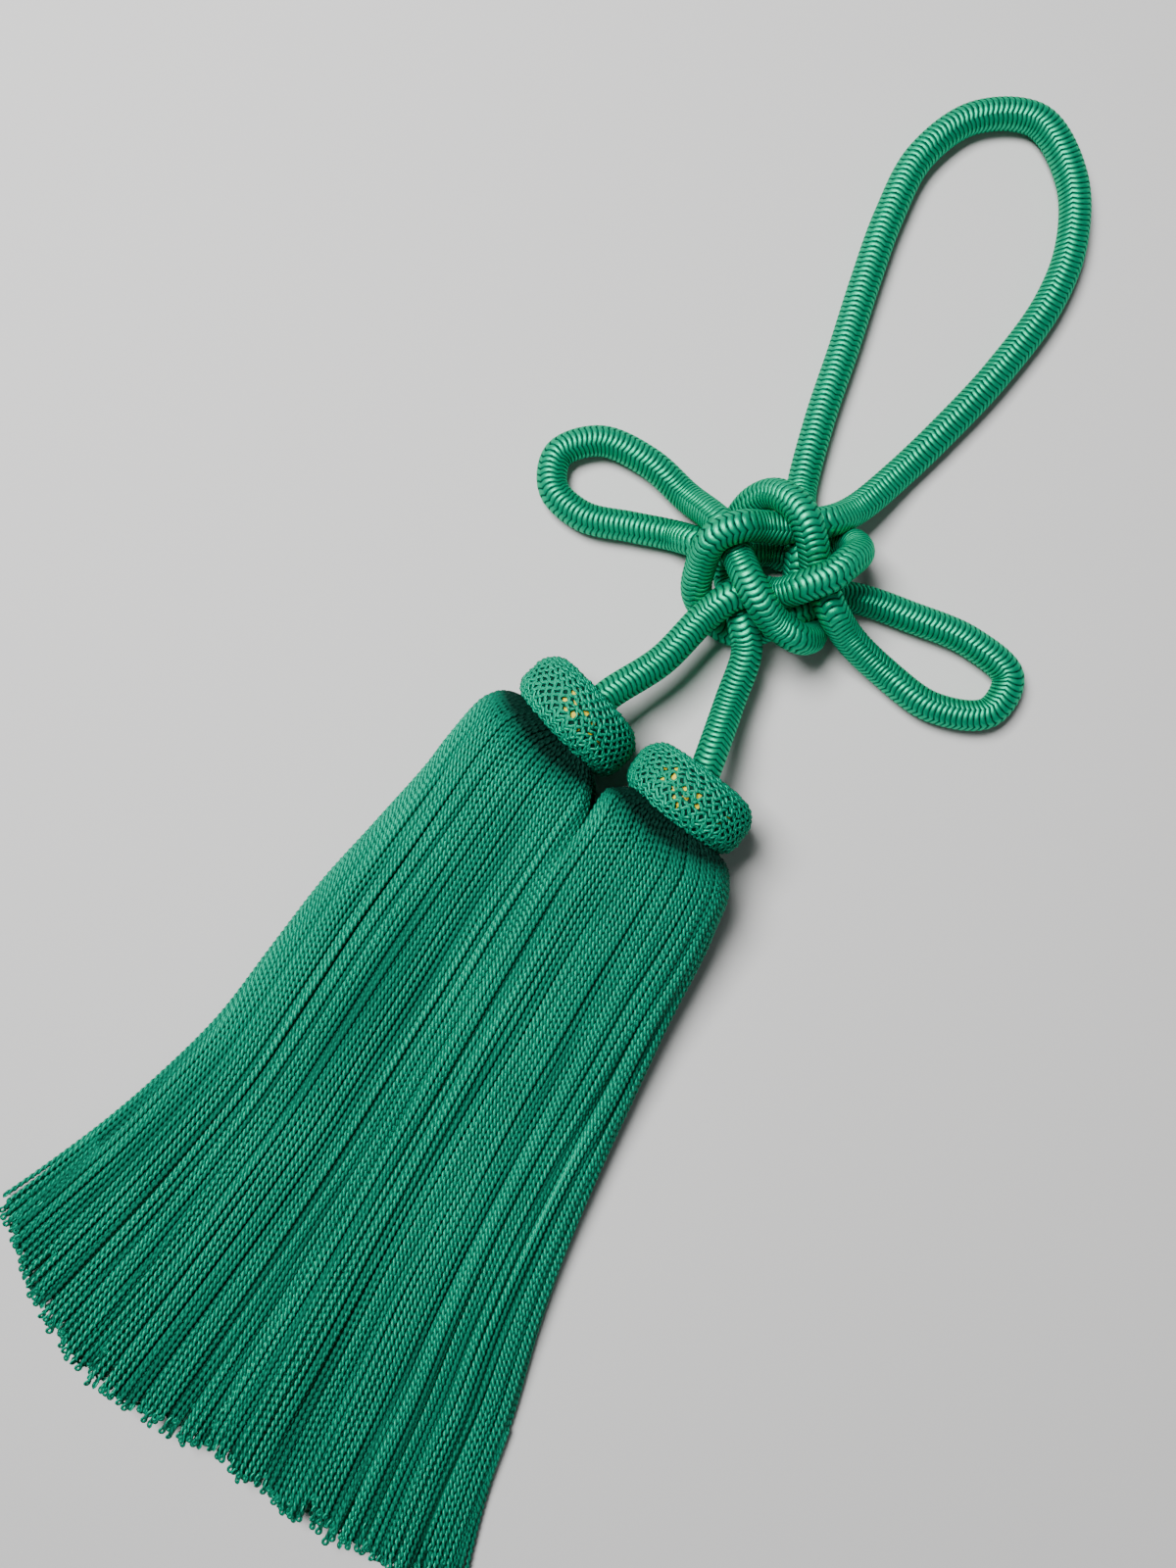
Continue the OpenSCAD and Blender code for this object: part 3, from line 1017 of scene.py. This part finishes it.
@dataclass
class Skirt:
    """A fringe of twisted strands that spreads from the head to a ragged hem.

    A set of strands is an array of shape (m, n, 7): for each strand and point, the point, the
    surface's normal there, and how far the strand has sunk among its neighbours, from 0 to 1,
    which sets how much painted shade it gets.
    """

    name: str
    rows_mm: Sequence[tuple[float, ...]]
    inner: Side
    seed: int
    strays: Sequence[Triple]
    strands: int = 48
    locks: float = 7.0
    wide: float = 0.00058
    narrow: float = 0.00042
    half_twist: float = 0.0013
    strand_length: float = 0.165
    fine_rows: int = 240
    arc_steps: int = 80
    outer_power: float = 2.4
    inner_powers: tuple[float, float] = (4.0, 10.0)
    close: float = 0.002
    inner_reach: float = 0.9925
    furrow_depth: float = 0.0006
    shared_sway: float = 0.00024
    own_sway: float = 0.00016
    neck_press: float = 0.00035
    # Painted shade: full on strands sunk this deep, its strength in the furrows and on the strands
    # below, and the stretch under the head where it fades out
    full_shade_depth: float = 0.0008
    furrow_shade: float = 0.7
    under_shade: float = 0.4
    neck_shade_reach: float = 0.0135
    neck_shade_fade: float = 0.0075
    bulk_below: float = 0.0029
    bulk_above: float = 0.0014
    loop_radius: float = 0.00062
    loop_half_width: float = 0.00055
    loop_thread: float = 0.00034

    def __post_init__(self) -> None:
        """Starts the meshes of the top and of the strands below, and the source of unevenness."""
        self.top, self.below = Mesh(), Mesh()
        self.rng = np.random.default_rng(self.seed)

    def table(self) -> Array:
        """The rows in metres with the power of their inner side.

        From the neck on, the inner edge moves towards the other skirt, and the inner side grows
        square, until both skirts lie against each other in one surface.

        Returns:
            Plan, heights, bow and power, shape (n, 9).
        """
        plan = np.array(self.rows_mm) * MM
        ramp = np.clip((np.arange(len(plan)) - 2) / 4, 0, 1)
        plan[:, 2 if self.inner is Side.RIGHT else 0] += self.inner.value * self.close * ramp
        power = self.inner_powers[0] + (self.inner_powers[1] - self.inner_powers[0]) * ramp
        return np.column_stack([plan[:, :4], np.array(HEIGHTS_MM) * MM, plan[:, 4], power])

    def section(self, rows: Array, t: Array, level: Array | float) -> Array:
        """Points on the skirt's sections.

        The fullness at t from 0 to 1 across is (1 - |2t-1|^p)^(1/p), with a power p for the outer
        and one for the inner side.  A point lies at left + t * (right - left), moved towards the
        hem by bow * (1 - (2t-1)^2), and its height goes from the top's,
        edge + (top - edge) * fullness, at level 0 to the underside's,
        edge - (edge - under) * fullness, at level 1.

        Args:
            rows: rows of the table, shape (n, 9).
            t: places across, shape (n, m).
            level: share of the way down, a number or shape (n, m).

        Returns:
            The points, shape (n, m, 3).
        """
        lx, ly, rx, ry, edge, top, under, bow, inner = (rows[:, i : i + 1] for i in range(9))
        off = 2 * t - 1
        power = np.where(off * self.inner.value > 0, inner, self.outer_power)
        full = np.clip(1 - np.abs(off) ** power, 0, None) ** (1 / power)
        high = edge + (top - edge) * full
        low = edge - (edge - under) * full
        return np.stack([
            lx + t * (rx - lx),
            ly + t * (ry - ly) - bow * (1 - off**2),
            high + (low - high) * level,
        ], axis=-1)

    def spread(self, rows: Array, f: Array) -> Array:
        """Turns shares of the arc over a section's top into places across it.

        The arc's length is summed over steps that are shorter towards the edges, and each share
        is looked up in the running sum, in proportion between steps.  The arc ends just short of
        the inner edge, a little way down the inner side.

        Args:
            rows: rows of the table, shape (n, 9).
            f: shares of the arc, shape (n, m).

        Returns:
            The places across, from 0 to 1, shape (n, m).
        """
        bend = np.linspace(0, np.pi, self.arc_steps + 1)
        t = (0.5 - 0.5 * np.cos(bend)) * self.inner_reach
        t = t if self.inner is Side.RIGHT else 1 - t[::-1]
        arc = along(self.section(rows, np.broadcast_to(t, (len(rows), len(t))), 0.0))
        arc = arc / arc[:, -1:]
        passed = (arc[:, None, :] <= f[:, :, None]).sum(axis=-1) - 1
        step = np.clip(passed, 0, self.arc_steps - 1)
        a = np.take_along_axis(arc, step, axis=1)
        b = np.take_along_axis(arc, step + 1, axis=1)
        part = np.clip((f - a) / np.maximum(b - a, 1e-9), 0, 1)
        return t[step] + part * (t[step + 1] - t[step])

    def paths(self, f: Array, plan: LayerPlan) -> Array:
        """Centre lines of strands from the neck to the hem.

        Strands gather into locks: a strand's share f is moved by
        pull * sin(phase) / (2*pi*locks), phase = 2*pi*locks*f + a slow bend, and it sinks where
        it stands between two locks, as ((1 + cos(phase)) / 2)^4.  Neighbours sway together, and
        single strands drift a little across them and into the depth.  This grows between rows 3
        and 8.  At the neck every second strand is pressed down.  The deeper a strand has sunk,
        the more painted shade it gets.

        Args:
            f: each strand's share of the arc, shape (m,).
            plan: the layer.

        Returns:
            The strands, shape (m, fine_rows, 7).
        """
        table = self.table()
        w = np.linspace(plan.start, len(table) - 1, self.fine_rows)
        rows = through(table, w)
        rows[:, 4:7] = np.maximum(rows[:, 4:7], 0)
        s = w[:, None] + 0 * f
        g = f + 0 * s
        shared = np.random.default_rng(self.seed)
        loose = np.clip((s - 3) / 5, 0, 1)
        turns = FULL_TURN * self.locks
        phase = turns * g + 3.6 * smooth_noise(shared, 8 * g, 0.35 * s)
        gap = 1 / self.strands
        own = self.rng.normal(0, 1, (3, len(f)))
        moved = g + plan.pull * loose * np.sin(phase) / turns
        moved += gap * loose * 0.16 * own[0] * np.sin(0.7 * s + 3 * own[1])
        moved += gap * 0.3 * loose * smooth_noise(shared, 9 * g, 0.7 * s)
        t = self.spread(rows, np.clip(moved, 0.25 * gap, 1 - 0.25 * gap))
        before, point, after = (
            self.section(rows, np.clip(t + aside, 0, 1), plan.level) for aside in (-0.004, 0, 0.004)
        )
        face = 1 if plan.level < 0.9 else -1
        normal = face * unit(np.cross(np.gradient(point, axis=0), after - before))
        furrow = (0.5 + 0.5 * np.cos(phase)) ** 4 * loose
        sway = self.shared_sway * smooth_noise(shared, 22 * g, 0.8 * s) + self.own_sway * own[2]
        pressed = self.neck_press * (np.arange(len(f)) % 2) * np.clip(1 - s / 3.5, 0, 1)
        depth = self.furrow_depth * furrow + pressed + np.abs(sway) * (0.3 + 0.7 * loose)
        line = point - normal * (plan.sunk + depth)[..., None]
        # Painted shade: the deeper the strand lies, the darker it is painted
        painted_shade = np.clip(depth / self.full_shade_depth, 0, 1)[..., None]
        return np.concatenate([line, normal, painted_shade], axis=-1).transpose(1, 0, 2)

    def trimmed(self, strands: Array, shorter: Array, count: int, lowest: float) -> Array:
        """Strands cut to length, with evenly spaced points that keep off the floor.

        Args:
            strands: the strands, shape (m, n, 7).
            shorter: length to leave off each strand's end, shape (m,).
            count: points to give each strand.
            lowest: least height of a point.

        Returns:
            The strands, shape (m, count, 7).
        """
        run = along(strands[..., :3])
        want = np.linspace(0, 1, count) * (run[:, -1] - shorter)[:, None]
        cut = np.stack([read_off(*strand) for strand in zip(want, run, strands)])
        cut[..., 2] = np.maximum(cut[..., 2], lowest)
        return cut

    def add_strands(
        self, strands: Array, tone: Array, shade: Array | float, lobed: bool = False,
        slim: Array | float = 1.0,
    ) -> None:
        """Adds strands as tubes: lobed ones to the top's mesh, plain ones to the mesh below.

        A lobed strand has four sides, its radius wide and narrow in turn, and they turn with the
        twist: the angle grows by pi over each half twist.  A plain strand is round with six
        sides, and its surface map turns instead.  Each strand has its own start and pace, and
        with u its share of the length, its turn is in proportion to u - 0.07*u^3, so that the
        twist is slacker towards the hem.

        Args:
            strands: the strands, shape (m, n, 7).
            tone: brightness of each strand, shape (m,).
            shade: darkness, fitting (m, n, sides).
            lobed: whether the twist is modelled.
            slim: factor on the radius, fitting (m, n).
        """
        line, normal = strands[..., :3], strands[..., 3:6]
        run = along(line)
        start = self.rng.uniform(0, np.pi, (len(run), 1))
        pace = self.rng.normal(1, 0.04, (len(run), 1))
        full = np.pi * self.strand_length / self.half_twist
        u = run / self.strand_length
        turn = start + pace * full * (u - 0.07 * u**3)
        spin, corners = turn, [self.wide, self.narrow] * 2
        if not lobed:
            spin, corners = 0 * turn, [0.5 * (self.wide + self.narrow)] * 6
        sides = len(corners)
        angle = np.arange(sides) / sides * FULL_TURN + spin[..., None]
        radius = np.array(corners) * (slim + 0 * run)[..., None]
        rings = tubes_around(line, square_frame(line, normal), radius, angle)
        uv = tube_uv(run, sides, (spin - turn) / FULL_TURN)
        mesh = self.top if lobed else self.below
        mesh.add_tubes(rings, uv, tone[:, None, None], shade)

    def add_ends(self, strands: Array, tone: Array) -> None:
        """Adds the small loop that ends each strand, to the mesh below.

        Round the loop, a runs through a full turn: the point lies (1 - cos(a)) radii beyond the
        end and sin(a) * sin(a/2) half widths to the side.

        Args:
            strands: the strands, shape (m, n, 7).
            tone: brightness of each strand, shape (m,).
        """
        line = strands[..., :3]
        size = self.rng.uniform(0.8, 1.25, (len(line), 1, 1))
        tilt = self.rng.normal(0, 0.5, (len(line), 1, 1))
        a = np.arange(10)[:, None] / 10 * FULL_TURN
        out = unit(line[:, -1:] - line[:, -4:-3])
        side = unit(np.cross(out, strands[:, -1:, 3:6]))
        flat = np.cos(tilt) * side + np.sin(tilt) * np.cross(side, out)
        beyond = self.loop_radius * (1 - np.cos(a)) * out
        aside = self.loop_half_width * np.sin(a) * np.sin(a / 2) * flat
        path = line[:, -1:] - out * 0.0002 + size * (beyond + aside)
        path[..., 2] = np.maximum(path[..., 2], 0.0003)
        up = np.cross(out, flat) + 0 * path
        radius = np.full(4, self.loop_thread)
        self.below.add_threads(path, up, radius, tone[:, None, None], shade=0.0)

    def raggedness(self, f: Array) -> Array:
        """How far each strand falls short of the hem, by lock and by strand.

        Args:
            f: each strand's share of the arc, shape (m,).

        Returns:
            The lengths, a fifth of them with up to 8 mm more.
        """
        rng = self.rng
        by_lock = 0.0025 + 0.0014 * smooth_noise(rng, 20 * f, 0 * f)
        early = rng.uniform(0, 0.008, len(f)) * (rng.uniform(0, 1, len(f)) < 0.22)
        return np.clip(by_lock + rng.normal(0.0002, 0.0007, len(f)), 0.0006, 0.0055) + early

    def splay(self, strands: Array) -> None:
        """Bends the strays aside near the hem, each from its own share of the length on.

        Args:
            strands: the strands, shape (m, n, 7), which are changed.
        """
        run = np.linspace(0, 1, strands.shape[1])
        for strand, aside, begin in self.strays:
            reach = np.clip((run - begin) / (1 - begin), 0, 1) ** 1.6
            strands[strand, :, 0] += reach * (aside * MM)

    def add_layer(self, plan: LayerPlan) -> None:
        """Adds one of the layers under the top strands, with plain round strands.

        Args:
            plan: the layer.
        """
        count = plan.strands
        f = (np.arange(count) + 1 + self.rng.normal(0, 0.1, count)) / (count + 1)
        strands = self.paths(f, plan)
        shorter = self.raggedness(f) - 0.0003 + plan.stagger
        strands = self.trimmed(strands, shorter, plan.rings, self.wide)
        tone = self.rng.uniform(0.8, 1.05, count)
        # Painted shade on the strands below, which lie in the gaps among the others
        self.add_strands(strands, tone, self.under_shade)
        self.add_ends(strands, tone)

    def add_top(self) -> None:
        """Adds the twisted strands on top with their ends, slimmer at the neck, with painted shade
        under the head and in the furrows.
        """
        count = self.strands
        f = (np.arange(count) + 0.5 + self.rng.normal(0, 0.12, count)) / count
        plan = LayerPlan(count, level=0.0, sunk=self.wide, start=0.0, rings=0, pull=0.14)
        strands = self.paths(f, plan)
        length = along(strands[..., :3])[:, -1].max()
        rings = round(3.95 * length / self.half_twist)
        strands = self.trimmed(strands, self.raggedness(f), rings, self.narrow)
        self.splay(strands)
        tone = self.rng.uniform(0.86, 1.12, count)
        slim = 0.8 + 0.2 * np.clip(np.linspace(0, 5.0, rings), 0, 1)
        # Painted shade under the head, fading out along the strand, and in the furrows between locks
        neck = np.clip((self.neck_shade_reach - along(strands[..., :3])) / self.neck_shade_fade, 0, 1)
        shade = np.maximum(self.furrow_shade * strands[..., 6], neck)[..., None]
        self.add_strands(strands, tone, shade, True, slim)
        self.add_ends(strands, tone)

    def bulk(self) -> Mesh:
        """The inside of the skirt: one closed body well under the surface, short of the hem, painted
        in shade.

        Returns:
            Its mesh, of rings that run across at the top's level and back at the underside's.
        """
        table = self.table()
        rows = through(table, np.linspace(2.3, len(table) - 1.4, 40))
        rows[:, 5] -= self.bulk_below
        rows[:, 6] += self.bulk_above
        rows[:, 4] = np.clip(rows[:, 4], rows[:, 6] + 0.0004, rows[:, 5] - 0.0004)
        there = np.linspace(0.07, 0.93, 25)
        back = there[-2:0:-1]
        across = np.zeros((len(rows), 1)) + np.concatenate([there, back])
        level = np.concatenate([0 * there, 0 * back + 1])
        rings = self.section(rows, across, level)[None]
        mesh = Mesh()
        run = np.linspace(0, 0.16, len(rows))[None]
        # Painted shade: the inside body is given a lower tone and a shade of 0.6
        mesh.add_tubes(rings, tube_uv(run, rings.shape[2]), tone=0.8, shade=0.6)
        return mesh

    def build(self, finish: Material) -> list[Object]:
        """Builds the skirt's pieces.

        Args:
            finish: the strands' material.

        Returns:
            The top strands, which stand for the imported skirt, those under them, and the bulk.
        """
        self.add_top()
        for plan in LAYERS:
            self.add_layer(plan)
        pieces = [
            self.top.make(f"{self.name}_skirt_strands", finish),
            self.below.make(f"{self.name}_skirt_under_strands", finish),
            self.bulk().make(f"{self.name}_skirt_bulk", finish),
        ]
        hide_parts(f"{self.name}_skirt")
        return pieces


# Scene


@dataclass(frozen=True)
class Camera:
    """The view from above: its place, what it looks at and what is up in the picture."""

    place: Triple = (0.014136, 0.069, 0.250656)
    target: Triple = (0.001, 0.069, 0.0)
    up: Triple = (-0.5, 0.8660254, 0.0)
    sensor_mm: float = 36.0
    lens_pixels: float = 1256
    picture_pixels: float = 1600

    def make(self) -> None:
        """Makes the camera and lets the scene use it."""
        data = bpy.data.cameras.new("camera")
        data.sensor_fit = "AUTO"
        data.sensor_width = self.sensor_mm
        data.lens = self.sensor_mm * self.lens_pixels / self.picture_pixels
        data.clip_start = 0.005
        data.clip_end = 10.0
        place = Vector(self.place)
        back = (place - Vector(self.target)).normalized()
        up = Vector(self.up)
        up = (up - back * up.dot(back)).normalized()
        turn = Matrix((up.cross(back), up, back)).transposed().to_4x4()
        camera = place_object("camera", data)
        camera.matrix_world = Matrix.Translation(place) @ turn
        bpy.context.scene.camera = camera


@dataclass(frozen=True)
class Lamp:
    """A soft square light that faces the object's middle, with its distance, side and watts."""

    name: str
    toward: Triple
    distance: float
    size: float
    power: float
    middle: Triple = (0.003, 0.07, 0.0)

    def make(self) -> None:
        """Makes the light, its back turned the way it stands from the object."""
        data = bpy.data.lights.new(self.name, "AREA")
        data.size = self.size
        data.energy = self.power
        way = Vector(self.toward).normalized()
        lamp = place_object(self.name, data)
        lamp.location = Vector(self.middle) + way * self.distance
        lamp.rotation_euler = way.to_track_quat("Z", "Y").to_euler()


def make_floor() -> None:
    """Makes the pale plain floor, which isn't part of the object."""
    bpy.ops.mesh.primitive_plane_add(size=6.0, location=(0, 0, 0))
    floor = bpy.context.object
    floor.name = "floor"
    pale = {"Base Color": (0.56, 0.555, 0.55, 1.0), "Roughness": 0.9}
    floor.data.materials.append(new_material("floor_paper", pale)[0])


def make_world(strength: float) -> None:
    """Makes the even light from all round.

    Args:
        strength: how bright it is.
    """
    world = bpy.data.worlds.new("studio")
    world.use_nodes = True
    pale = {"Color": (0.9, 0.95, 1.0, 1.0), "Strength": strength}
    Wiring(world.node_tree).feed(world.node_tree.nodes["Background"], pale)
    bpy.context.scene.world = world


# Peep holes: degrees round the head from its right side, mm along its axis, radius in mm
LEFT_PEEPS = [
    (103, 0, 0.42), (96, -1.1, 0.36), (94, 1.2, 0.46), (88, -0.6, 0.66), (82, 1.2, 0.46),
    (72, 0.8, 0.4), (56, -1.1, 0.42), (139, -2.9, 0.42), (102, 2, 0.34), (66.5, -0.9, 0.28),
    (104.5, 3.7, 0.28), (63, -2.1, 0.28), (76, -2.4, 0.24),
]
RIGHT_PEEPS = [
    (121, -0.6, 0.4), (113, 0.8, 0.54), (106, -0.8, 0.42), (99, 0.4, 0.4), (94, -0.9, 0.48),
    (87, 0.7, 0.48), (116, 2.4, 0.34), (126, 1.3, 0.34), (102, -2.2, 0.3), (95, -3.1, 0.34),
    (82.5, -0.8, 0.42), (57, -0.7, 0.34), (52.5, 1, 0.34),
]

# Strays at the skirts' edges: strand, mm aside at the hem, share of the length where it starts
LEFT_STRAYS = [(0, -2.2, 0.7), (1, -1.3, 0.72), (2, -0.6, 0.75)]
RIGHT_STRAYS = [(47, 2.6, 0.72), (46, 1.6, 0.78)]

# Each thread finish: its colour where lit, then its painted shade colour for creases, grooves and
# sunk parts
BRAID = BraidFinish("braid_green", (0.0, 0.44, 0.22), (0.0, 0.015, 0.009))
CROCHET = ThreadFinish("crochet_green", (0.0, 0.56, 0.31), (0.0, 0.012, 0.008), groove=0.7)
STRAND = ThreadFinish("strand_green", (0.0, 0.44, 0.25), (0.0, 0.012, 0.008), relief=0.00015)
BEAD = PaintFinish("bead_yellow", (0.8, 0.62, 0.0))


def main() -> None:
    """Makes the camera, the light and every piece."""
    logging.basicConfig(level=logging.INFO, format="%(name)s: %(message)s")
    Camera().make()
    braid, crochet, strand = BRAID.make(), CROCHET.make(), STRAND.make()
    cord = BraidedCord().build(braid)
    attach(cord, "root")
    heads = (
        CrochetHead("left", (-6.5, 79.5, 13.2), -17, LEFT_PEEPS, seed=11),
        CrochetHead("right", (20, 76.5, 13.2), -8, RIGHT_PEEPS, seed=12),
    )
    for head in heads:
        piece = head.build(crochet)
        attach(piece, "root")
    skirts = (
        Skirt("left", LEFT_ROWS_MM, Side.RIGHT, 21, LEFT_STRAYS),
        Skirt("right", RIGHT_ROWS_MM, Side.LEFT, 22, RIGHT_STRAYS),
    )
    for skirt in skirts:
        for piece in skirt.build(strand):
            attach(piece, "root")
    paint = BEAD.make()
    for side in ("left", "right"):
        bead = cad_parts[f"{side}_head_bead"]
        bead.data.materials.clear()
        bead.data.materials.append(paint)
    make_floor()
    Lamp("key_light", (-0.42, 0.15, 0.92), 0.72, 0.32, 11.5).make()
    Lamp("fill_light", (0.8, -0.2, 0.9), 0.9, 0.6, 0.4).make()
    make_world(0.08)


if __name__ == "__main__":
    main()
